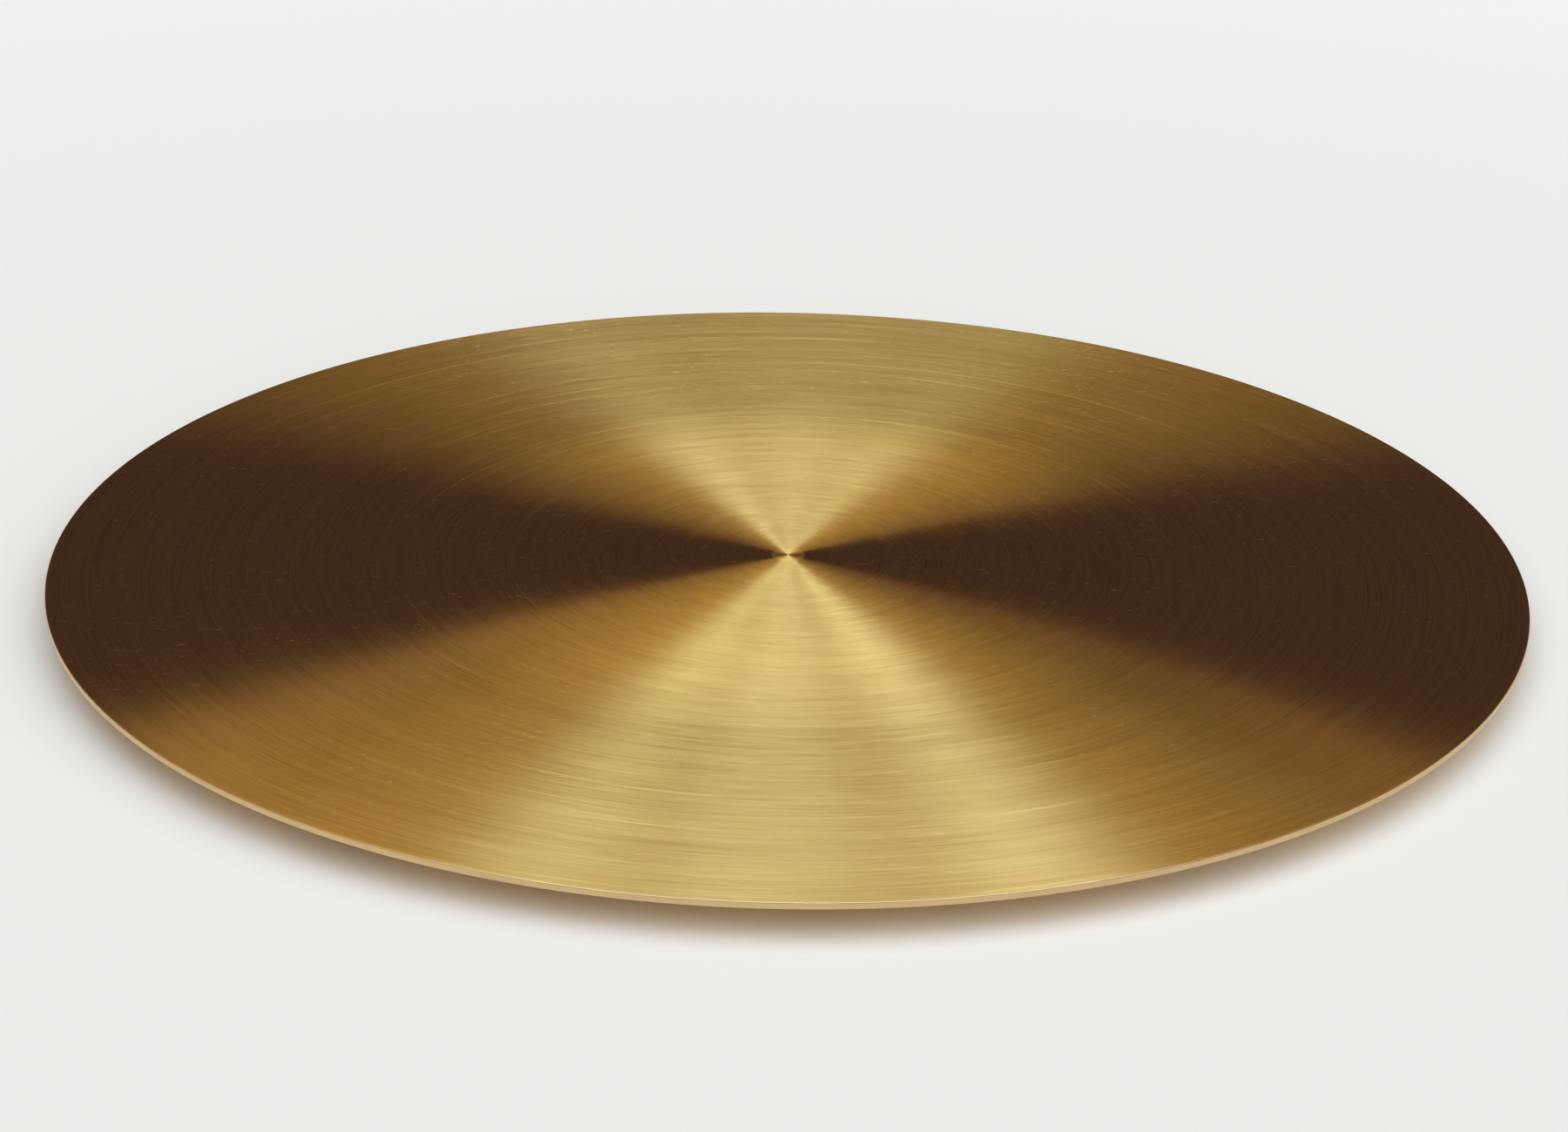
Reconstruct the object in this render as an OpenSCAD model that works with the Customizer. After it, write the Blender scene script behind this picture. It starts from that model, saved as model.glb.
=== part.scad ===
// Low lazy susan for a dining table.
// A thin brass plate is bonded to a steel carrier ring, which is screwed to the inner ring of a slim
// aluminium ball bearing. The outer ring of the bearing stands on rubber feet and stays still.
// The origin is at the centre of the base, on the table top, with +Z up.

/* [Plate] */
// Diameter of the turning plate
plate_d = 700; // [600:10:900]
// Thickness of the turning plate
plate_t = 3; // [2:0.5:5]
// Bevel on the plate's upper and lower edge
plate_bevel = 0.4; // [0.2:0.1:0.8]

/* [Carrier] */
// Outer diameter of the carrier ring
carrier_d = 460; // [430:10:520]
// Inner diameter of the carrier ring
carrier_bore_d = 290; // [240:10:300]
// Thickness of the carrier ring
carrier_t = 2.5; // [2:0.5:4]
// Thickness of the bonding tape between the carrier ring and the plate
tape_t = 0.5; // [0.3:0.1:1]

/* [Bearing] */
// Diameter of the circle that the ball centres run on
pitch_d = 360; // [340:10:380]
// Diameter of one ball
ball_d = 5; // [4:0.5:5]
// Number of cage segments
cage_count = 6; // [4:1:8]
// Number of balls in one cage segment
balls_per_segment = 12; // [8:1:14]
// Radial width of each bearing ring
ring_w = 18.8; // [17:0.1:22]
// Height of each bearing ring
ring_h = 8; // [8:0.5:10]
// Number of screws that hold the inner ring to the carrier ring
screw_count = 12; // [6:1:16]

/* [Feet] */
// Number of rubber feet under the outer ring
foot_count = 8; // [4:1:8]
// Diameter of one rubber foot
foot_d = 12; // [10:0.5:14]
// Height of one rubber foot
foot_h = 3; // [2.5:0.5:4]

/* [Hidden] */
$fn = 96;
eps = 0.01;

// Levels above the table
foot_recess = 1;
ring_step = 1;
stator_z = foot_h - foot_recess;
rotor_z = stator_z + ring_step;
stator_top = stator_z + ring_h;
rotor_top = rotor_z + ring_h;
ball_z = (rotor_z + stator_top) / 2;
carrier_top = rotor_top + carrier_t;
plate_z = carrier_top + tape_t;
plate_top = plate_z + plate_t;

// Bearing radii
pitch_r = pitch_d / 2;
ring_gap = 2.4;
rotor_or = pitch_r - ring_gap / 2;
rotor_ir = rotor_or - ring_w;
stator_ir = pitch_r + ring_gap / 2;
stator_or = stator_ir + ring_w;
ball_play = 0.1;
groove_r = ball_d / 2 + ball_play;
ring_chamfer = 0.6;

// Cage
cage_t = 1.4;
cage_inset = 0.2;
cage_h = stator_top - rotor_z - 2 * cage_inset;
cage_gap = 0.8;
ball_step = 360 / (cage_count * balls_per_segment);

// Tape, set back a little from both edges of the carrier ring
tape_setback = 4;
carrier_chamfer = 0.4;

// M4 countersunk socket screws, whose heads sink into the rotor ring and whose ends stop inside the carrier
screw_r = 2;
screw_head_r = 4;
screw_sink = 0.25;
screw_end_gap = 0.25;
screw_len = ring_h + carrier_t - screw_sink - screw_end_gap;
screw_hole_r = 2.25;
thread_play = 0.02;
screw_socket_af = 2.5;
screw_socket_depth = 1.6;
screw_circle_r = rotor_ir + 8.5;

// Plug that closes the hole that the balls are loaded through
plug_r = ball_d / 2 + 0.2;
plug_play = 0.02;
plug_sink = 0.4;
plug_nose = 0.3;
plug_socket_af = 2.5;
plug_socket_depth = 3;
plug_angle = 180 / foot_count;

// Feet
foot_circle_r = (stator_ir + stator_or) / 2 + 0.4;
foot_chamfer = 0.5;
foot_recess_play = 0.1;

// Copies its children to count places, evenly spaced round the vertical axis
module around(count) {
    for (i = [0:count - 1]) rotate([0, 0, i * 360 / count]) children();
}

// Flat ring or disc between two levels, with the same chamfer on every outer and inner edge
module flat_ring(inner_r, outer_r, z0, z1, chamfer) {
    outer_edge = [
        [outer_r - chamfer, z0], [outer_r, z0 + chamfer], [outer_r, z1 - chamfer], [outer_r - chamfer, z1]
    ];
    inner_edge = inner_r > 0
        ? [[inner_r + chamfer, z1], [inner_r, z1 - chamfer], [inner_r, z0 + chamfer], [inner_r + chamfer, z0]]
        : [[0, z1], [0, z0]];
    rotate_extrude() polygon(concat(outer_edge, inner_edge));
}

// Round track for the balls, cut into both bearing rings
module ball_track() {
    translate([0, 0, ball_z]) rotate_extrude() translate([pitch_r, 0]) circle(r = groove_r);
}

// Hexagonal socket that opens at z = 0 and runs upwards
module hex_socket(across_flats, depth) {
    translate([0, 0, -eps]) cylinder(d = across_flats / cos(30), h = depth + eps, $fn = 6);
}

module top_plate() {
    color("#b08d4c") flat_ring(0, plate_d / 2, plate_z, plate_top, plate_bevel);
}

module bonding_tape() {
    color("#3b3b3d") difference() {
        translate([0, 0, carrier_top]) cylinder(r = carrier_d / 2 - tape_setback, h = tape_t);
        translate([0, 0, carrier_top - eps])
            cylinder(r = carrier_bore_d / 2 + tape_setback, h = tape_t + 2 * eps);
    }
}

// Steel ring with one tapped hole for each screw
module carrier_ring() {
    color("#1d1d1f") difference() {
        flat_ring(carrier_bore_d / 2, carrier_d / 2, rotor_top, carrier_top, carrier_chamfer);
        around(screw_count) translate([screw_circle_r, 0, rotor_top - eps])
            cylinder(r = screw_r, h = carrier_t + 2 * eps);
    }
}

// One countersunk through hole, with its cone opening downwards at z = 0
module countersunk_hole(depth) {
    cone_r = screw_head_r + screw_sink;
    translate([0, 0, -eps]) cylinder(r = screw_hole_r, h = depth + 2 * eps);
    translate([0, 0, -eps])
        cylinder(r1 = cone_r + eps, r2 = screw_hole_r, h = cone_r - screw_hole_r + eps);
}

// Inner bearing ring, which turns with the plate
module rotor_ring() {
    color("#c9cbce") difference() {
        flat_ring(rotor_ir, rotor_or, rotor_z, rotor_top, ring_chamfer);
        ball_track();
        around(screw_count) translate([screw_circle_r, 0, rotor_z]) countersunk_hole(ring_h);
    }
}

// One M4 countersunk screw, with its head down
module countersunk_screw() {
    head_h = screw_head_r - screw_r;
    difference() {
        union() {
            cylinder(r = screw_r - thread_play, h = screw_len);
            cylinder(r1 = screw_head_r - thread_play, r2 = screw_r - thread_play, h = head_h);
        }
        hex_socket(screw_socket_af, screw_socket_depth);
    }
}

module rotor_screws() {
    color("#8f9296") around(screw_count)
        translate([screw_circle_r, 0, rotor_z + screw_sink]) countersunk_screw();
}

// Outer bearing ring, which stands on the feet
module stator_ring() {
    color("#c9cbce") difference() {
        flat_ring(stator_ir, stator_or, stator_z, stator_top, ring_chamfer);
        ball_track();
        around(foot_count) translate([foot_circle_r, 0, stator_z - eps])
            cylinder(r = foot_d / 2 + foot_recess_play, h = foot_recess + eps);
        rotate([0, 0, plug_angle]) translate([pitch_r, 0, ball_z])
            rotate([0, 90, 0]) cylinder(r = plug_r, h = stator_or);
    }
}

// Socketed plug in the outer ring, lying along the radius
module filler_plug() {
    nose_r = pitch_r + groove_r + plug_nose;
    tail_r = stator_or - plug_sink;
    color("#6e7175") rotate([0, 0, plug_angle]) translate([tail_r, 0, ball_z])
        rotate([0, -90, 0]) difference() {
            cylinder(r = plug_r - plug_play, h = tail_r - nose_r);
            hex_socket(plug_socket_af, plug_socket_depth);
        }
}

// One arc of the ball cage, with a radial pocket for each of its balls
module cage_segment(index) {
    span = 360 / cage_count;
    gap_angle = cage_gap / pitch_r * 180 / PI;
    color("#e7e4dc") rotate([0, 0, index * span]) difference() {
        rotate([0, 0, gap_angle / 2]) rotate_extrude(angle = span - gap_angle)
            translate([pitch_r - cage_t / 2, ball_z - cage_h / 2]) square([cage_t, cage_h]);
        for (i = [0:balls_per_segment - 1])
            rotate([0, 0, (i + 0.5) * ball_step]) translate([pitch_r - cage_t, 0, ball_z])
                rotate([0, 90, 0]) cylinder(r = ball_d / 2 + ball_play, h = 2 * cage_t);
    }
}

module bearing_balls() {
    color("#d9dbde") rotate([0, 0, ball_step / 2]) around(cage_count * balls_per_segment)
        translate([pitch_r, 0, ball_z]) sphere(r = ball_d / 2);
}

// One rubber foot in its recess under the outer ring
module foot(index) {
    color("#232323") rotate([0, 0, index * 360 / foot_count]) translate([foot_circle_r, 0, 0])
        flat_ring(0, foot_d / 2, 0, foot_h, foot_chamfer);
}

top_plate();
bonding_tape();
carrier_ring();
rotor_ring();
rotor_screws();
stator_ring();
filler_plug();
bearing_balls();
for (i = [0:cage_count - 1])
    cage_segment(i);
for (i = [0:foot_count - 1])
    foot(i);
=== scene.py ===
import math

import bmesh
import bpy
from mathutils import Matrix, Vector


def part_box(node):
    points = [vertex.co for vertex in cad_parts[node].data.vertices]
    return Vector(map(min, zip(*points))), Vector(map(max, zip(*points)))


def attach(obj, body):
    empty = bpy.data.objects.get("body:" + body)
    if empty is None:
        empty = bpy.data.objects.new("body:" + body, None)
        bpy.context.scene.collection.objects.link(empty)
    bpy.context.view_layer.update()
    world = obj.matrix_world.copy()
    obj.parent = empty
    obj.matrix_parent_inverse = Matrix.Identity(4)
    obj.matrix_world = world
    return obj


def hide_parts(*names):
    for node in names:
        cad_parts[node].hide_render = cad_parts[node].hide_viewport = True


# Looks of a low lazy susan: the finishes, the detailed pieces, the studio and the camera.
# Everything is in metres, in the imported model's own frame.

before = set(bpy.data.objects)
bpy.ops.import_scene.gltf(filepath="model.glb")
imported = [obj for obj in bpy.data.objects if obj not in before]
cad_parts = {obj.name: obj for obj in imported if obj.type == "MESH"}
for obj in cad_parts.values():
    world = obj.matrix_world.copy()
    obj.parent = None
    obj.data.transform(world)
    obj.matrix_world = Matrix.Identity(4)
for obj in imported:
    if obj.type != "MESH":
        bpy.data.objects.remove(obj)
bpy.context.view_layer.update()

MM = 0.001
TAU = 2 * math.pi


# ---------------------------------------------------------------- sizes taken from the frame

def box_radius(node):
    """Outer radius of a node that is round about the spin axis."""
    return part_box(node)[1].x


def level(node):
    """Lowest and highest height of a node."""
    low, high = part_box(node)
    return low.z, high.z


PLATE_RADIUS = box_radius("top_plate")
PLATE_LOW, PLATE_TOP = level("top_plate")
CARRIER_RADIUS = box_radius("carrier_ring")
CARRIER_BORE = 145 * MM
CARRIER_LOW, CARRIER_TOP = level("carrier_ring")
TAPE_RADIUS = box_radius("bonding_tape")
TAPE_BORE = CARRIER_BORE + CARRIER_RADIUS - TAPE_RADIUS

RING_WIDTH = 18.8 * MM
ROTOR_RADIUS = box_radius("rotor_ring")
ROTOR_BORE = ROTOR_RADIUS - RING_WIDTH
ROTOR_LOW, ROTOR_TOP = level("rotor_ring")
STATOR_RADIUS = box_radius("stator_ring")
STATOR_BORE = STATOR_RADIUS - RING_WIDTH
STATOR_LOW, STATOR_TOP = level("stator_ring")
PITCH_RADIUS = (ROTOR_RADIUS + STATOR_BORE) / 2
BALL_LOW, BALL_HIGH = level("bearing_balls")
BALL_LEVEL = (BALL_LOW + BALL_HIGH) / 2
BALL_PLAY = 0.1 * MM
GROOVE_RADIUS = (BALL_HIGH - BALL_LOW) / 2 + BALL_PLAY

SCREW_COUNT = 12
SCREW_LOW, SCREW_TOP = level("rotor_screws")
SCREW_HEAD_RADIUS = 3.98 * MM
SCREW_CREST = 1.98 * MM
SCREW_PITCH = 0.7 * MM
SCREW_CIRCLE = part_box("rotor_screws")[1].x - SCREW_HEAD_RADIUS
SCREW_HOLE = 2.25 * MM
COUNTERSINK_RADIUS = 4.25 * MM
TAPPED_HOLE = 2 * MM

FOOT_NAMES = sorted(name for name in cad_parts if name.startswith("foot_"))
CAGE_NAMES = sorted(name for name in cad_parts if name.startswith("cage_segment_"))
FOOT_LOW, FOOT_TOP = level(FOOT_NAMES[0])
FOOT_RADIUS = (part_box(FOOT_NAMES[0])[1].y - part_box(FOOT_NAMES[0])[0].y) / 2
FOOT_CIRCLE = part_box("foot_1")[1].x - FOOT_RADIUS

PLUG_ANGLE = math.pi / len(FOOT_NAMES)
PLUG_CREST = 2.68 * MM
PLUG_BORE = 2.7 * MM
PLUG_PITCH = 0.5 * MM
PLUG_SINK = 0.4 * MM
PLUG_TAIL = STATOR_RADIUS - PLUG_SINK
PLUG_NOSE_GAP = 0.3 * MM
PLUG_NOSE = PITCH_RADIUS + GROOVE_RADIUS + PLUG_NOSE_GAP
HEX_FLATS = 2.5 * MM

LARGE_STEPS = 720       # steps round a large ring
SMALL_STEPS = 48        # steps round a foot or a hole
THREAD_STEPS = 32       # steps round a threaded piece
CORNER_STEPS = 5
GROOVE_STEPS = 14
SHARP_DEGREES = 32      # edges that bend more than this stay crisp
CUT_PAST = 1 * MM       # how far a cutter reaches past the face it opens
MOUTH = 0.2 * MM        # bevel at the mouth of a hole


# ---------------------------------------------------------------- mesh tools

def new_piece(name, bm):
    """Object made from a bmesh, with its faces turned outwards."""
    bmesh.ops.recalc_face_normals(bm, faces=bm.faces)
    mesh = bpy.data.meshes.new(name)
    bm.to_mesh(mesh)
    bm.free()
    piece = bpy.data.objects.new(name, mesh)
    bpy.context.scene.collection.objects.link(piece)
    return piece


def lathe(name, outline, segments, closed=True, bands=None, ripple=None):
    """Turns an outline of (radius, height) points round the Z axis.

    closed joins the last point to the first; otherwise the outline starts and ends on the axis.
    bands gives each stretch of the outline its material number.
    ripple(angle, height) adds to the radius.
    """
    bm = bmesh.new()
    rings = []
    for radius, height in outline:
        if radius == 0:
            rings.append([bm.verts.new((0, 0, height))])
            continue
        ring = []
        for k in range(segments):
            angle = k * TAU / segments
            r = radius + (ripple(angle, height) if ripple else 0)
            ring.append(bm.verts.new((r * math.cos(angle), r * math.sin(angle), height)))
        rings.append(ring)
    follower = rings[1:] + (rings[:1] if closed else [])
    for i, (here, there) in enumerate(zip(rings, follower)):
        for k in range(segments):
            corners = [here[k % len(here)], here[(k + 1) % len(here)],
                       there[(k + 1) % len(there)], there[k % len(there)]]
            face = bm.faces.new(list(dict.fromkeys(corners)))
            face.material_index = bands[i] if bands else 0
    return new_piece(name, bm)


def corner(radius, height, fillet, start):
    """Quarter circle of outline points round (radius, height), anticlockwise from start degrees."""
    angles = [math.radians(start + 90 * i / CORNER_STEPS) for i in range(CORNER_STEPS + 1)]
    return [(radius + fillet * math.cos(a), height + fillet * math.sin(a)) for a in angles]


def ring_outline(inner, outer, low, high, fillet, outer_wall=(), inner_wall=()):
    """Outline of a ring's section with rounded corners. The walls may hold extra points."""
    return (
        corner(outer - fillet, low + fillet, fillet, -90) + list(outer_wall)
        + corner(outer - fillet, high - fillet, fillet, 0)
        + corner(inner + fillet, high - fillet, fillet, 90) + list(inner_wall)
        + corner(inner + fillet, low + fillet, fillet, 180)
    )


def repeat(piece, count):
    """Copies the piece's mesh to count places, evenly spaced round the Z axis."""
    bm = bmesh.new()
    for i in range(count):
        part = piece.data.copy()
        part.transform(Matrix.Rotation(i * TAU / count, 4, "Z"))
        bm.from_mesh(part)
        bpy.data.meshes.remove(part)
    bm.to_mesh(piece.data)
    bm.free()
    return piece


def cut(piece, cutter):
    """Takes the cutter's solid out of the piece, and removes the cutter."""
    modifier = piece.modifiers.new("cut", "BOOLEAN")
    modifier.object = cutter
    modifier.solver = "EXACT"
    depsgraph = bpy.context.evaluated_depsgraph_get()
    mesh = bpy.data.meshes.new_from_object(piece.evaluated_get(depsgraph))
    piece.modifiers.clear()
    piece.data = mesh
    bpy.data.objects.remove(cutter)


def move(piece, matrix):
    """Moves the piece's mesh, and leaves its object at the origin."""
    piece.data.transform(matrix)
    return piece


def shade(piece):
    """Keeps flat faces flat and real edges crisp, and lets round stretches shade smoothly."""
    for polygon in piece.data.polygons:
        polygon.use_smooth = True
    piece.data.set_sharp_from_angle(angle=math.radians(SHARP_DEGREES))
    normals = piece.modifiers.new("normals", "WEIGHTED_NORMAL")
    normals.keep_sharp = True


# ---------------------------------------------------------------- finishes

class Finish:
    """A material under construction: its node tree, its Principled shader and short ways to add nodes."""

    def __init__(self, name, colour, roughness, metallic=0.0):
        self.material = bpy.data.materials.new(name)
        self.material.use_nodes = True
        self.tree = self.material.node_tree
        self.shader = self.tree.nodes["Principled BSDF"]
        self.give("Base Color", (*colour, 1))
        self.give("Roughness", roughness)
        self.give("Metallic", metallic)

    def put(self, socket, value):
        """Sets a socket to a value, or links it to another node's output."""
        if isinstance(value, bpy.types.NodeSocket):
            self.tree.links.new(value, socket)
        else:
            socket.default_value = value

    def give(self, socket, value):
        """Sets or links one of the Principled shader's inputs."""
        self.put(self.shader.inputs[socket], value)

    def node(self, kind, inputs, output=0, **settings):
        """Adds a node and gives back one of its outputs."""
        made = self.tree.nodes.new(kind)
        for key, value in settings.items():
            setattr(made, key, value)
        for key, value in inputs.items():
            self.put(made.inputs[key], value)
        return made.outputs[output]

    def math(self, operation, first, second=0.0):
        return self.node("ShaderNodeMath", {0: first, 1: second}, operation=operation)

    def vector(self, operation, first, second=(0, 0, 0), output=0):
        return self.node("ShaderNodeVectorMath", {0: first, 1: second}, output, operation=operation)

    def place(self):
        return self.node("ShaderNodeTexCoord", {}, "Object")

    def radius(self):
        """Distance from the Z axis."""
        flat = self.vector("MULTIPLY", self.place(), (1, 1, 0))
        return self.vector("LENGTH", flat, output="Value")

    def polar(self, around, across):
        """Noise coordinates that run round the Z axis: features per radian, and per metre of radius."""
        flat = self.vector("MULTIPLY", self.place(), (1, 1, 0))
        heading = self.vector("NORMALIZE", flat)
        turned = self.vector("MULTIPLY", heading, (around, around, 0))
        out = self.math("MULTIPLY", self.radius(), across)
        return self.vector("ADD", turned, self.node("ShaderNodeCombineXYZ", {"Z": out}))

    def stretched(self, degrees, along, across):
        """Noise coordinates for short straight marks that lie at an angle in the XY plane."""
        return self.node("ShaderNodeMapping", {
            "Vector": self.place(),
            "Rotation": (0, 0, math.radians(degrees)),
            "Scale": (along, across, along),
        })

    def noise(self, where, scale=1.0, detail=3.0, roughness=0.6, offset=0.0):
        return self.node("ShaderNodeTexNoise", {
            "Vector": where, "Scale": scale, "Detail": detail, "Roughness": roughness, "W": offset,
        }, "Fac", noise_dimensions="4D")

    def remap(self, value, low, high, to_low=0.0, to_high=1.0, smooth=True):
        return self.node("ShaderNodeMapRange", {
            "Value": value, "From Min": low, "From Max": high, "To Min": to_low, "To Max": to_high,
        }, interpolation_type="SMOOTHSTEP" if smooth else "LINEAR")

    def add_layers(self, value, *layers):
        """Adds layers to a value, each as a pair of the layer and its share."""
        for layer, share in layers:
            value = self.math("ADD", value, self.math("MULTIPLY", layer, share))
        return value

    def mix(self, factor, first, second):
        made = self.tree.nodes.new("ShaderNodeMix")
        made.data_type = "RGBA"
        colours = [s for s in made.inputs if s.type == "RGBA"]
        self.put(made.inputs[0], factor)
        for socket, colour in zip(colours, (first, second)):
            self.put(socket, colour if isinstance(colour, bpy.types.NodeSocket) else (*colour, 1))
        return [s for s in made.outputs if s.type == "RGBA"][0]

    def bump(self, height, distance, strength=1.0):
        self.give("Normal", self.node("ShaderNodeBump", {
            "Height": height, "Distance": distance, "Strength": strength,
        }))

    def brushed_round(self, anisotropic, rotation):
        """Spreads the gloss across brush lines that run round the Z axis."""
        self.give("Anisotropic", anisotropic)
        self.give("Anisotropic Rotation", rotation)
        tangent = self.tree.nodes.new("ShaderNodeTangent")
        tangent.direction_type = "RADIAL"
        tangent.axis = "Z"
        self.give("Tangent", tangent.outputs[0])


BRASS = (0.90, 0.62, 0.20)
BRUSH_ROUGHNESS = 0.377
OUTER_BRUSH_ROUGHNESS = 0.308
BRUSH_CHANGE = (128 * MM, 215 * MM)
HUB_RADIUS = 8.2 * MM
SCORED_RADII = (50 * MM, 52 * MM, 134 * MM, 186 * MM)
SCORE_WIDTH = 0.5 * MM
SCRATCH_DEGREES = (8, -37, 71)


def scored_rings(look):
    """Thin rings at a few radii, as a stray grain leaves them, that fade in and out along the way."""
    total = 0.0
    for ring in SCORED_RADII:
        distance = look.math("ABSOLUTE", look.math("SUBTRACT", look.radius(), ring))
        total = look.math("ADD", total, look.remap(distance, 0, SCORE_WIDTH, 1, 0))
    fade = look.remap(look.noise(look.polar(1.0, 12), detail=1, offset=8.8), 0.2, 0.5)
    return look.math("MULTIPLY", total, fade)


def brushed_brass():
    """The serving face: long concentric streaks, faint stray scratches and a rougher hub."""
    look = Finish("brushed_brass_face", BRASS, BRUSH_ROUGHNESS, metallic=1.0)
    look.brushed_round(1.0, 0.25)
    bands = look.noise(look.polar(0.7, 26), detail=2, offset=3.1)
    streaks = look.noise(look.polar(1.5, 210), detail=4, roughness=0.95)
    hairs = look.noise(look.polar(5.0, 1500), detail=2, roughness=0.8, offset=5.2)
    lines = look.remap(look.noise(look.polar(1.8, 560), detail=2, roughness=0.7, offset=2.6), 0.61, 0.67)
    arcs = look.remap(look.noise(look.polar(0.8, 600), detail=1, offset=7.7), 0.69, 0.74)
    rings = scored_rings(look)
    dashes = [
        look.remap(look.noise(look.stretched(angle, 150, 1500), detail=1, offset=angle), 0.70, 0.76)
        for angle in SCRATCH_DEGREES
    ]
    marks = look.math("MAXIMUM", look.math("MAXIMUM", dashes[0], dashes[1]), dashes[2])
    wide = look.remap(streaks, 0.3, 0.7, -1, 1, smooth=False)
    fine = look.remap(hairs, 0.3, 0.7, -1, 1, smooth=False)
    tone = look.remap(bands, 0.2, 0.8, 0.45, 0.61, smooth=False)
    tone = look.add_layers(tone, (wide, 0.42), (fine, 0.44), (lines, -0.40), (arcs, -0.60))
    brass = look.mix(tone, (0.74, 0.49, 0.145), (1.00, 0.72, 0.255))
    brass = look.mix(rings, brass, (0.58, 0.39, 0.15))
    look.give("Base Color", look.mix(marks, brass, (0.80, 0.58, 0.27)))
    rough = look.remap(look.radius(), *BRUSH_CHANGE, BRUSH_ROUGHNESS, OUTER_BRUSH_ROUGHNESS)
    hub = look.remap(look.radius(), HUB_RADIUS * 0.95, HUB_RADIUS * 1.05, 1.0, 0.0)
    look.give("Roughness", look.add_layers(
        rough, (hub, 0.42), (wide, 0.01), (lines, 0.08), (arcs, 0.18), (rings, 0.42), (marks, 0.56),
    ))
    look.bump(streaks, 0.02 * MM)
    return look.material


def cut_brass():
    """The plate's machined rim, paler than the brushed face."""
    look = Finish("cut_brass_rim", (0.70, 0.50, 0.25), 0.34, metallic=1.0)
    cloud = look.noise(look.stretched(0, 60, 60), offset=1.3)
    around = look.noise(look.vector("MULTIPLY", look.place(), (40, 40, 2600)), detail=3, offset=5.0)
    look.give("Base Color", look.mix(cloud, (0.64, 0.45, 0.22), (0.77, 0.56, 0.30)))
    look.give("Roughness", look.remap(around, 0.3, 0.7, 0.28, 0.42))
    look.bump(around, 0.02 * MM)
    return look.material


def mill_brass():
    """The plate's underside: straight rolling lines and light tarnish."""
    look = Finish("mill_brass_underside", (0.70, 0.49, 0.19), 0.4, metallic=1.0)
    lines = look.noise(look.stretched(0, 9, 900), detail=4, offset=2.0)
    tarnish = look.noise(look.place(), scale=14, detail=5, roughness=0.7, offset=9.0)
    aged = look.mix(look.remap(tarnish, 0.45, 0.75), (0.86, 0.54, 0.11), (0.60, 0.35, 0.08))
    look.give("Base Color", look.mix(look.remap(lines, 0.3, 0.7, 0, 0.35), aged, (0.92, 0.63, 0.18)))
    look.give("Roughness", look.remap(lines, 0.25, 0.75, 0.32, 0.48))
    look.bump(lines, 0.015 * MM)
    return look.material


def foam_tape():
    """Black foam with fine open cells."""
    look = Finish("foam_tape", (0.05, 0.05, 0.052), 0.9)
    cells = look.noise(look.place(), scale=2600, detail=3, roughness=0.8)
    look.give("Base Color", look.mix(cells, (0.03, 0.03, 0.032), (0.085, 0.085, 0.09)))
    look.bump(cells, 0.08 * MM)
    return look.material


def powder_coat():
    """Black powder coat with a fine grain."""
    look = Finish("black_powder_coat", (0.02, 0.02, 0.021), 0.5)
    grain = look.noise(look.place(), scale=1500, detail=3, roughness=0.5)
    cloud = look.noise(look.place(), scale=30, detail=4, offset=4.0)
    look.give("Base Color", look.mix(cloud, (0.014, 0.014, 0.015), (0.034, 0.034, 0.036)))
    look.give("Roughness", look.remap(grain, 0.3, 0.7, 0.42, 0.62))
    look.bump(grain, 0.05 * MM)
    return look.material


def turned_aluminium():
    """Clear-anodised ring with the tool's fine turning marks."""
    look = Finish("turned_aluminium", (0.72, 0.73, 0.74), 0.3, metallic=1.0)
    look.brushed_round(0.7, 0.25)
    marks = look.noise(look.polar(0.5, 1700), detail=3, roughness=0.6)
    tone = look.noise(look.polar(1.2, 160), detail=2, offset=2.0)
    look.give("Base Color", look.mix(tone, (0.62, 0.63, 0.65), (0.80, 0.81, 0.82)))
    look.give("Roughness", look.remap(marks, 0.3, 0.7, 0.24, 0.40))
    look.bump(marks, 0.015 * MM)
    return look.material


def zinc_steel():
    """Bright zinc with a faint blue and yellow passivation tint."""
    look = Finish("zinc_steel", (0.56, 0.57, 0.58), 0.32, metallic=1.0)
    tint = look.noise(look.place(), scale=240, detail=3)
    grain = look.noise(look.place(), scale=1800, detail=3, roughness=0.7, offset=1.0)
    look.give("Base Color", look.mix(tint, (0.50, 0.53, 0.60), (0.66, 0.63, 0.54)))
    look.give("Roughness", look.remap(grain, 0.3, 0.7, 0.24, 0.42))
    look.bump(grain, 0.01 * MM)
    return look.material


def bearing_steel():
    """Ground and polished balls with a thin film of grease."""
    look = Finish("bearing_steel", (0.75, 0.76, 0.77), 0.08, metallic=1.0)
    film = look.noise(look.place(), scale=700, detail=4, roughness=0.6)
    look.give("Base Color", look.mix(look.remap(film, 0.5, 0.8), (0.76, 0.77, 0.78), (0.56, 0.54, 0.46)))
    look.give("Roughness", look.remap(film, 0.4, 0.8, 0.06, 0.22))
    return look.material


def moulded_nylon():
    """Natural nylon, slightly cloudy and translucent."""
    look = Finish("moulded_nylon", (0.78, 0.76, 0.70), 0.45)
    cloud = look.noise(look.place(), scale=180, detail=3)
    grain = look.noise(look.place(), scale=2400, detail=2, offset=2.0)
    look.give("Base Color", look.mix(cloud, (0.70, 0.68, 0.61), (0.83, 0.81, 0.75)))
    look.give("Roughness", look.remap(grain, 0.3, 0.7, 0.38, 0.55))
    look.give("Subsurface Weight", 0.15)
    look.give("Subsurface Scale", 1.0 * MM)
    look.bump(grain, 0.02 * MM)
    return look.material


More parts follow.
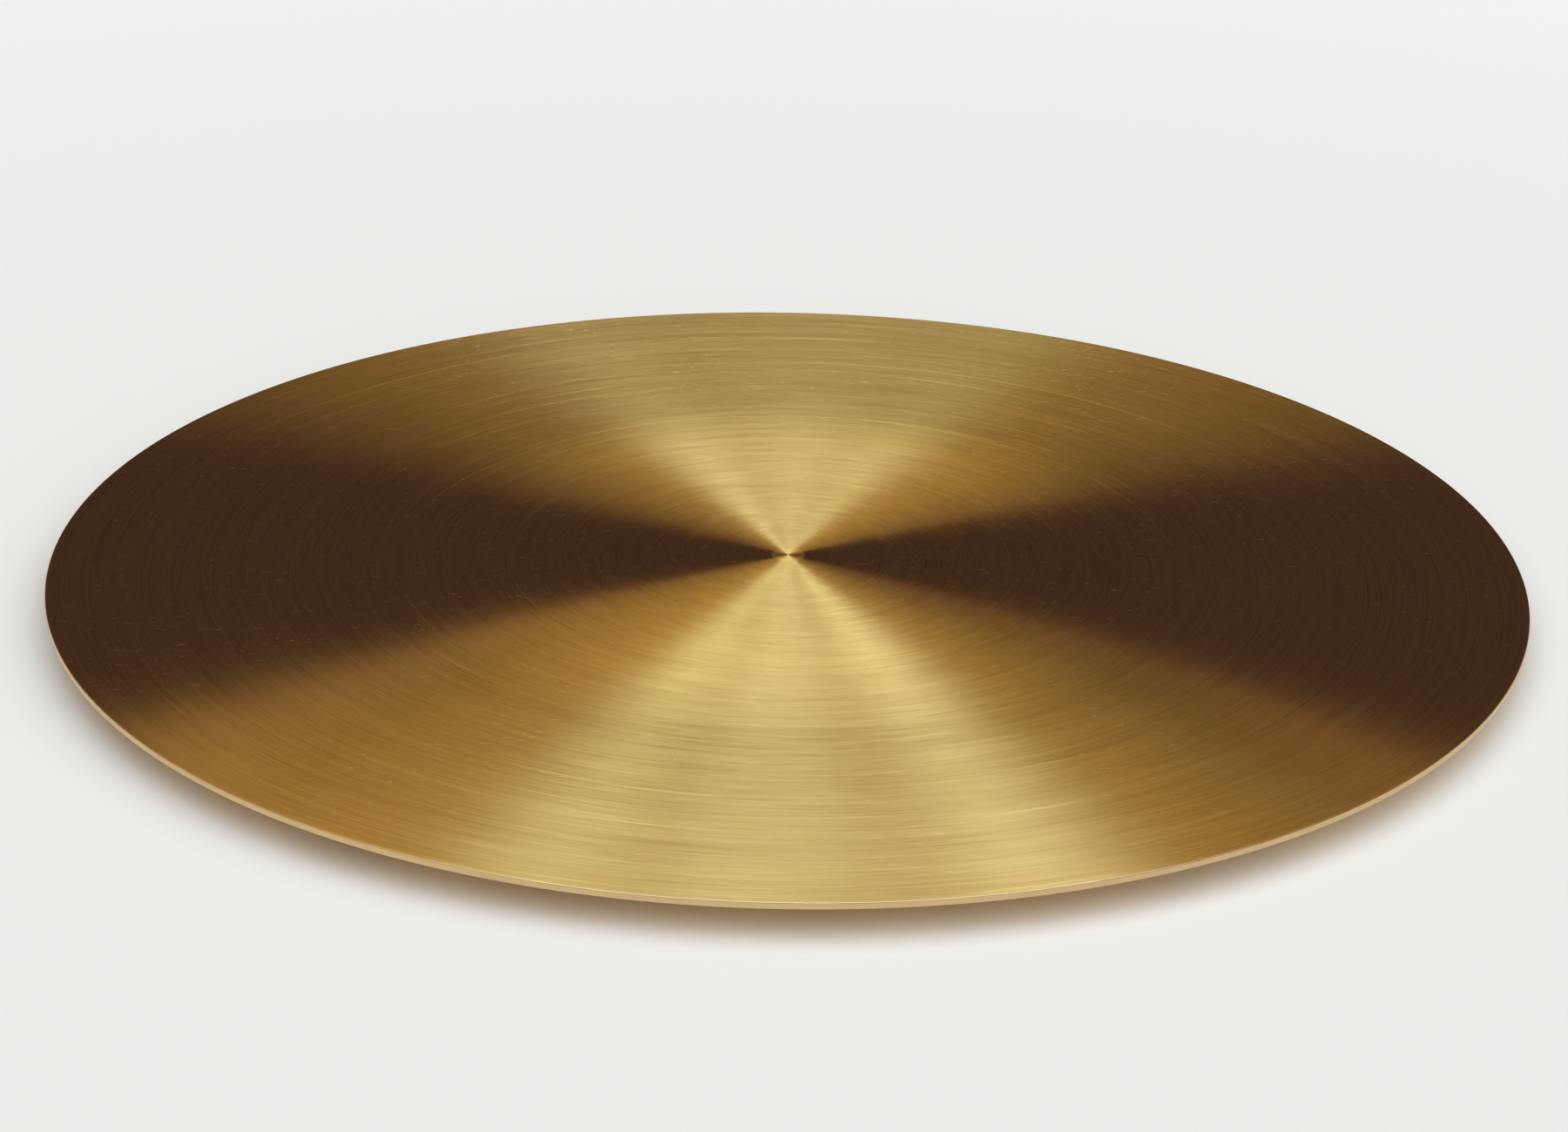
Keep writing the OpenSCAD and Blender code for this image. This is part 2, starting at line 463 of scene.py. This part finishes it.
def moulded_rubber():
    """Black rubber with a little dust."""
    look = Finish("moulded_rubber", (0.025, 0.025, 0.026), 0.75)
    grain = look.noise(look.place(), scale=1900, detail=4, roughness=0.7)
    dust = look.noise(look.place(), scale=260, detail=3, offset=6.0)
    dusty = look.remap(dust, 0.5, 0.8)
    look.give("Base Color", look.mix(dusty, (0.020, 0.020, 0.021), (0.060, 0.058, 0.055)))
    look.give("Roughness", look.remap(grain, 0.3, 0.7, 0.66, 0.9))
    look.bump(grain, 0.04 * MM)
    return look.material


# ---------------------------------------------------------------- pieces

def finish_piece(piece, body, slot, nodes, *materials):
    """Gives the piece its materials and shading, and fits it to the frame."""
    for material in materials:
        piece.data.materials.append(material)
    shade(piece)
    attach(piece, body)
    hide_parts(*nodes)


def disc_rings(low, high, count):
    """Radii from low to high, for the rings that divide a flat disc."""
    return [low + (high - low) * i / count for i in range(count + 1)]


def make_plate():
    """Thin disc with a softly rounded upper and lower edge."""
    fillet = 0.4 * MM
    smallest_ring = 2 * MM
    flat = disc_rings(smallest_ring, PLATE_RADIUS - 2 * fillet, 14)
    under = [(0, PLATE_LOW)] + [(r, PLATE_LOW) for r in flat]
    over = [(r, PLATE_TOP) for r in reversed(flat)] + [(0, PLATE_TOP)]
    edge = (
        corner(PLATE_RADIUS - fillet, PLATE_LOW + fillet, fillet, -90)
        + corner(PLATE_RADIUS - fillet, PLATE_TOP - fillet, fillet, 0)
    )
    face, rim, underside = 0, 1, 2
    bands = [underside] * len(under) + [rim] * (len(edge) - 1) + [face] * len(over)
    plate = lathe("brass_plate", under + edge + over, LARGE_STEPS, closed=False, bands=bands)
    finish_piece(
        plate, "turntable", "brushed_brass", ["top_plate"],
        brushed_brass(), cut_brass(), mill_brass(),
    )


def make_tape():
    """Foam tape whose edges bulge a little where it is pressed."""
    bulge = 0.15 * MM
    middle = (CARRIER_TOP + PLATE_LOW) / 2
    outline = [
        (TAPE_RADIUS, CARRIER_TOP), (TAPE_RADIUS + bulge, middle), (TAPE_RADIUS, PLATE_LOW),
        (TAPE_BORE, PLATE_LOW), (TAPE_BORE - bulge, middle), (TAPE_BORE, CARRIER_TOP),
    ]
    tape = lathe("tape_ring", outline, LARGE_STEPS)
    finish_piece(tape, "turntable", "foam_tape", ["bonding_tape"], foam_tape())


def make_carrier():
    """Steel ring with a tapped hole for each screw, bevelled at both faces."""
    fillet = 0.4 * MM
    carrier = lathe(
        "carrier_plate",
        ring_outline(CARRIER_BORE, CARRIER_RADIUS, CARRIER_LOW, CARRIER_TOP, fillet),
        LARGE_STEPS,
    )
    mouth_radius = TAPPED_HOLE + MOUTH + CUT_PAST
    holes = lathe("tapped_holes", [
        (0, CARRIER_LOW - CUT_PAST), (mouth_radius, CARRIER_LOW - CUT_PAST),
        (TAPPED_HOLE, CARRIER_LOW + MOUTH), (TAPPED_HOLE, CARRIER_TOP - MOUTH),
        (mouth_radius, CARRIER_TOP + CUT_PAST), (0, CARRIER_TOP + CUT_PAST),
    ], SMALL_STEPS, closed=False)
    repeat(move(holes, Matrix.Translation((SCREW_CIRCLE, 0, 0))), SCREW_COUNT)
    cut(carrier, holes)
    finish_piece(carrier, "turntable", "black_powder_coat", ["carrier_ring"], powder_coat())


def groove(side, start, end):
    """Arc of the ball groove on one side of the pitch circle, from start to end in degrees."""
    turn = end - start
    angles = [math.radians(start + turn * i / GROOVE_STEPS) for i in range(GROOVE_STEPS + 1)]
    return [
        (PITCH_RADIUS + side * GROOVE_RADIUS * math.cos(a), BALL_LEVEL + GROOVE_RADIUS * math.sin(a))
        for a in angles
    ]


def groove_half_angle():
    """Half of the arc, in degrees, that the groove takes out of each ring's wall."""
    gap = STATOR_BORE - PITCH_RADIUS
    return math.degrees(math.acos(gap / GROOVE_RADIUS))


RING_FILLET = 0.5 * MM


def make_rotor():
    """Inner ring of the bearing, with its ball groove and countersunk holes."""
    half = groove_half_angle()
    outline = ring_outline(
        ROTOR_BORE, ROTOR_RADIUS, ROTOR_LOW, ROTOR_TOP, RING_FILLET, outer_wall=groove(-1, -half, half),
    )
    rotor = lathe("inner_race", outline, LARGE_STEPS)
    holes = lathe("countersinks", [
        (0, ROTOR_LOW - CUT_PAST), (COUNTERSINK_RADIUS + CUT_PAST, ROTOR_LOW - CUT_PAST),
        (COUNTERSINK_RADIUS, ROTOR_LOW), (SCREW_HOLE, ROTOR_LOW + COUNTERSINK_RADIUS - SCREW_HOLE),
        (SCREW_HOLE, ROTOR_TOP + CUT_PAST), (0, ROTOR_TOP + CUT_PAST),
    ], SMALL_STEPS, closed=False)
    repeat(move(holes, Matrix.Translation((SCREW_CIRCLE, 0, 0))), SCREW_COUNT)
    cut(rotor, holes)
    finish_piece(rotor, "turntable", "anodised_aluminium", ["rotor_ring"], turned_aluminium())


def along_radius(distance, angle):
    """Turns a shape that stands on Z so that its Z points outwards along a radius, from a distance on."""
    lay = Matrix.Rotation(math.pi / 2, 4, "Y")
    return Matrix.Rotation(angle, 4, "Z") @ Matrix.Translation((distance, 0, BALL_LEVEL)) @ lay


def foot_recesses():
    """Cutter for the shallow round recesses that the feet sit in."""
    recess = FOOT_RADIUS + 0.1 * MM
    depth = 1 * MM
    cutter = lathe("recesses", [
        (0, STATOR_LOW - CUT_PAST), (recess + MOUTH + CUT_PAST, STATOR_LOW - CUT_PAST),
        (recess, STATOR_LOW + MOUTH), (recess, STATOR_LOW + depth), (0, STATOR_LOW + depth),
    ], SMALL_STEPS, closed=False)
    return repeat(move(cutter, Matrix.Translation((FOOT_CIRCLE, 0, 0))), len(FOOT_NAMES))


def loading_hole():
    """Cutter for the radial hole that the balls are loaded through."""
    depth = STATOR_RADIUS - PITCH_RADIUS
    cutter = lathe("loading_hole", [
        (0, 0), (PLUG_BORE, 0), (PLUG_BORE, depth - MOUTH),
        (PLUG_BORE + MOUTH + CUT_PAST, depth + CUT_PAST), (0, depth + CUT_PAST),
    ], SMALL_STEPS, closed=False)
    return move(cutter, along_radius(PITCH_RADIUS, PLUG_ANGLE))


def make_stator():
    """Outer ring of the bearing, with its ball groove, foot recesses and loading hole."""
    half = groove_half_angle()
    outline = ring_outline(
        STATOR_BORE, STATOR_RADIUS, STATOR_LOW, STATOR_TOP, RING_FILLET, inner_wall=groove(1, half, -half),
    )
    stator = lathe("outer_race", outline, LARGE_STEPS)
    cut(stator, foot_recesses())
    cut(stator, loading_hole())
    finish_piece(stator, "base", "anodised_aluminium", ["stator_ring"], turned_aluminium())


def thread(pitch, depth, low, high):
    """Ripple of a 60 degree thread between two heights, fading out over its last turn at both ends."""
    def ripple(angle, height):
        if not low < height < high:
            return 0
        fade = min(1, (height - low) / pitch, (high - height) / pitch)
        turn = (height / pitch - angle / TAU) % 1
        return -depth * fade * abs(2 * turn - 1)
    return ripple


def rows(low, high, step):
    """Heights from low to high, about step apart."""
    count = math.ceil((high - low) / step)
    return [low + (high - low) * i / count for i in range(count + 1)]


def hex_cutter(depth):
    """Hexagonal socket with a drilled bottom, open at z = 0 and running upwards."""
    corner_radius = HEX_FLATS / math.cos(math.pi / 6) / 2
    outline = [
        (0, -CUT_PAST), (corner_radius, -CUT_PAST), (corner_radius, depth), (0, depth + corner_radius / 2),
    ]
    return lathe("hex_socket", outline, 6, closed=False)


def make_screws():
    """Countersunk socket screws with cut threads, heads down."""
    length = SCREW_TOP - SCREW_LOW
    head = SCREW_HEAD_RADIUS - SCREW_CREST
    land = 0.25 * MM
    tip = 0.4 * MM
    shank = [(SCREW_CREST, z) for z in rows(head, length - tip, SCREW_PITCH / 8)]
    outline = (
        [(0, 0), (SCREW_HEAD_RADIUS - land, 0), (SCREW_HEAD_RADIUS, land)] + shank
        + [(SCREW_CREST - tip, length), (0, length)]
    )
    cut_thread = thread(SCREW_PITCH, 0.38 * MM, head + SCREW_PITCH, length - tip / 2)
    screw = lathe("socket_screws", outline, THREAD_STEPS, closed=False, ripple=cut_thread)
    cut(screw, hex_cutter(1.6 * MM))
    repeat(move(screw, Matrix.Translation((SCREW_CIRCLE, 0, SCREW_LOW))), SCREW_COUNT)
    finish_piece(screw, "turntable", "zinc_steel", ["rotor_screws"], zinc_steel())


def make_plug():
    """Threaded plug with a hexagonal socket, sunk a little into the outer ring's wall."""
    length = PLUG_TAIL - PLUG_NOSE
    bevel = 0.35 * MM
    body = [(PLUG_CREST, z) for z in rows(bevel, length - bevel, PLUG_PITCH / 8)]
    outline = [(0, 0), (PLUG_CREST - bevel, 0)] + body + [(PLUG_CREST - bevel, length), (0, length)]
    cut_thread = thread(PLUG_PITCH, 0.28 * MM, bevel, length - bevel)
    plug = lathe("loading_plug", outline, THREAD_STEPS, closed=False, ripple=cut_thread)
    cut(plug, hex_cutter(3 * MM))
    outwards = along_radius(PLUG_TAIL, PLUG_ANGLE) @ Matrix.Rotation(math.pi, 4, "X")
    finish_piece(move(plug, outwards), "base", "zinc_steel", ["filler_plug"], zinc_steel())


def foot_outline():
    """Section of a moulded foot: a ribbed sole, a slightly hollow side and a plain seat."""
    rib_count = 4
    rib_pitch = 1.15 * MM
    rib_depth = 0.25 * MM
    first_rib = 0.55 * rib_pitch
    flank = 0.2 * MM
    land = 0.4 * MM
    sole = [(0, FOOT_LOW + rib_depth)]
    for i in range(rib_count):
        start = first_rib + i * rib_pitch
        sole += [
            (start, FOOT_LOW + rib_depth), (start + flank, FOOT_LOW),
            (start + flank + land, FOOT_LOW), (start + 2 * flank + land, FOOT_LOW + rib_depth),
        ]
    fillet = 0.5 * MM
    edge = corner(FOOT_RADIUS - fillet, FOOT_LOW + fillet, fillet, -90)
    waist_low = FOOT_LOW + 0.7 * MM
    waist_height = 1.2 * MM
    waist_depth = 0.15 * MM
    side = [
        (FOOT_RADIUS - waist_depth * math.sin(math.pi * i / 4), waist_low + waist_height * i / 4)
        for i in range(5)
    ]
    bevel = 0.2 * MM
    seat = [(FOOT_RADIUS, FOOT_TOP - bevel), (FOOT_RADIUS - bevel, FOOT_TOP), (0, FOOT_TOP)]
    return sole + edge + side + seat


def make_feet():
    """One detailed foot in the place of each CAD foot."""
    rubber = moulded_rubber()
    for name in FOOT_NAMES:
        low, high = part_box(name)
        foot = lathe("rubber_" + name, foot_outline(), SMALL_STEPS, closed=False)
        foot.location = ((low.x + high.x) / 2, (low.y + high.y) / 2, 0)
        finish_piece(foot, "base", "black_rubber", [name], rubber)


def finish_cad_nodes():
    """Gives finishes to the balls and the cage, which keep their CAD shapes."""
    kept = {"bearing_balls": ("bearing_steel", bearing_steel())}
    nylon = moulded_nylon()
    kept.update({name: ("nylon_cage", nylon) for name in CAGE_NAMES})
    for name, (slot, material) in kept.items():
        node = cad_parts[name]
        node.data.materials.clear()
        node.data.materials.append(material)


# ---------------------------------------------------------------- studio

# A large warm scrim hangs over the object. A wide glow and three lamps add to it near the middle, and its
# far edge is hotter on both sides, which gives the dark wedges on the brushed face clear borders.
# Each light is its west, east, south and north edge in metres and its radiance, from the highest down.
# The radiances add up where the lights overlap.
LAMP_SOUTH = -0.580
LAMP_NORTH = 0.153
SCRIM_HEIGHT = 1.312
SCRIM_STEP = 10 * MM
SCRIM = {
    "scrim": (-2.27, 1.19, -2.94, 1.178, (0.790, 0.601, 0.282)),
    "lamp_glow": (-0.635, 0.702, LAMP_SOUTH, LAMP_NORTH, (1.10, 1.90, 3.10)),
    "left_lamp": (-0.635, -0.387, LAMP_SOUTH, LAMP_NORTH, (1.72, 2.55, 3.13)),
    "middle_lamp": (-0.191, 0.116, LAMP_SOUTH, LAMP_NORTH, (0.93, 1.34, 2.04)),
    "right_lamp": (0.390, 0.702, LAMP_SOUTH, LAMP_NORTH, (2.70, 3.45, 4.85)),
    "far_left_edge": (-1.427, -0.805, 1.040, 1.329, (1.008, 0.634, 0.446)),
    "far_right_edge": (0.942, 1.200, 1.035, 1.308, (1.843, 1.107, 0.733)),
}
ROOM = (0.056, 0.034, 0.041)
BACKDROP = (0.885, 0.89, 0.875)
FLOOR_RADIUS = 40
# Floor colours near and far from the object. The lighter far colour is painted light, in place of brighter
# light farther out.
FLOOR_NEAR = (0.925, 0.93, 0.905)
FLOOR_PAINTED_LIGHT_FAR = (0.98, 0.98, 0.975)
FLOOR_SUN_STRENGTH = 3.16
FLOOR_SUN_COLOUR = (0.97, 1.0, 0.985)
FLOOR_SUN_SPREAD = 125
FLOOR_SUN_FROM = Vector((0.25, -0.50, 1.0))


def add_light(name, data, place):
    light = bpy.data.objects.new(name, data)
    light.matrix_world = place
    bpy.context.scene.collection.objects.link(light)
    return light


def link_light(light, floor, state):
    """Lets the light reach only the floor (INCLUDE), or everything but the floor (EXCLUDE)."""
    group = bpy.data.collections.new(light.name + "_linking")
    group.objects.link(floor)
    group.collection_objects[0].light_linking.link_state = state
    light.light_linking.receiver_collection = group


def make_scrim(floor):
    """The soft rectangular lights over the object, which don't reach the floor."""
    for step, (name, (west, east, south, north, radiance)) in enumerate(SCRIM.items()):
        data = bpy.data.lights.new(name, "AREA")
        data.shape = "RECTANGLE"
        data.size = east - west
        data.size_y = north - south
        peak = max(radiance)
        data.color = [c / peak for c in radiance]
        data.energy = peak * math.pi * data.size * data.size_y
        height = SCRIM_HEIGHT - step * SCRIM_STEP
        place = Matrix.Translation(((west + east) / 2, (south + north) / 2, height))
        link_light(add_light(name, data, place), floor, "EXCLUDE")


def make_floor_light(floor):
    """Very soft light that reaches only the floor, where the object casts its shadow."""
    data = bpy.data.lights.new("floor_light", "SUN")
    data.energy = FLOOR_SUN_STRENGTH
    data.color = FLOOR_SUN_COLOUR
    data.angle = math.radians(FLOOR_SUN_SPREAD)
    place = FLOOR_SUN_FROM.to_track_quat("Z", "Y").to_matrix().to_4x4()
    link_light(add_light("floor_light", data, place), floor, "INCLUDE")


def make_world():
    """Dim room, with a plain pale backdrop where the camera sees past the floor."""
    world = bpy.data.worlds.new("studio")
    world.use_nodes = True
    nodes, links = world.node_tree.nodes, world.node_tree.links
    room = nodes["Background"]
    room.inputs["Color"].default_value = (*ROOM, 1)
    backdrop = nodes.new("ShaderNodeBackground")
    backdrop.inputs["Color"].default_value = (*BACKDROP, 1)
    ray = nodes.new("ShaderNodeLightPath")
    choice = nodes.new("ShaderNodeMixShader")
    links.new(ray.outputs["Is Camera Ray"], choice.inputs[0])
    links.new(room.outputs[0], choice.inputs[1])
    links.new(backdrop.outputs[0], choice.inputs[2])
    links.new(choice.outputs[0], nodes["World Output"].inputs["Surface"])
    bpy.context.scene.world = world


def make_floor():
    """Plain pale table surface whose colour grows a little lighter away from the object: painted light,
    standing in for brighter light farther out.
    """
    bm = bmesh.new()
    bmesh.ops.create_circle(bm, cap_ends=True, segments=128, radius=FLOOR_RADIUS)
    floor = new_piece("floor", bm)
    look = Finish("pale_floor", (0.93, 0.93, 0.90), 0.7)
    look.give("Specular IOR Level", 0.0)
    # Painted light: the floor's colour grows lighter from 0.5 m to 1.5 m out, standing in for brighter
    # light there.
    far = look.remap(look.radius(), 0.5, 1.5)
    look.give("Base Color", look.mix(far, FLOOR_NEAR, FLOOR_PAINTED_LIGHT_FAR))
    floor.data.materials.append(look.material)
    return floor


# Camera pose about the centre of the plate's top face, in plate radii and degrees
SENSOR_WIDTH_MM = 36
CAMERA_LENS_MM = 86.05
CAMERA_ELEVATION = 23.19
CAMERA_ROLL = 1.10
CAMERA_DISTANCE = 5.128
CAMERA_SIDESTEP = -0.0055
CAMERA_RISE = -0.0154


def make_camera():
    """Camera at the photograph's viewing angle."""
    data = bpy.data.cameras.new("camera")
    data.lens = CAMERA_LENS_MM
    data.sensor_width = SENSOR_WIDTH_MM
    data.clip_start = 0.01
    camera = bpy.data.objects.new("camera", data)
    bpy.context.scene.collection.objects.link(camera)
    elevation, roll = math.radians(CAMERA_ELEVATION), math.radians(CAMERA_ROLL)
    forward = Vector((0, math.cos(elevation), -math.sin(elevation)))
    level_up = Vector((0, math.sin(elevation), math.cos(elevation)))
    level_right = Vector((1, 0, 0))
    right = level_right * math.cos(roll) + level_up * math.sin(roll)
    up = level_up * math.cos(roll) - level_right * math.sin(roll)
    centre = Vector((0, 0, PLATE_TOP))
    away = level_right * CAMERA_SIDESTEP + level_up * CAMERA_RISE - forward * CAMERA_DISTANCE
    turn = Matrix((right, up, -forward)).transposed()
    camera.matrix_world = Matrix.Translation(centre + away * PLATE_RADIUS) @ turn.to_4x4()
    bpy.context.scene.camera = camera


make_camera()
make_plate()
make_tape()
make_carrier()
make_rotor()
make_stator()
make_screws()
make_plug()
make_feet()
finish_cad_nodes()
floor = make_floor()
make_scrim(floor)
make_floor_light(floor)
make_world()
bpy.context.scene.view_settings.view_transform = "Standard"
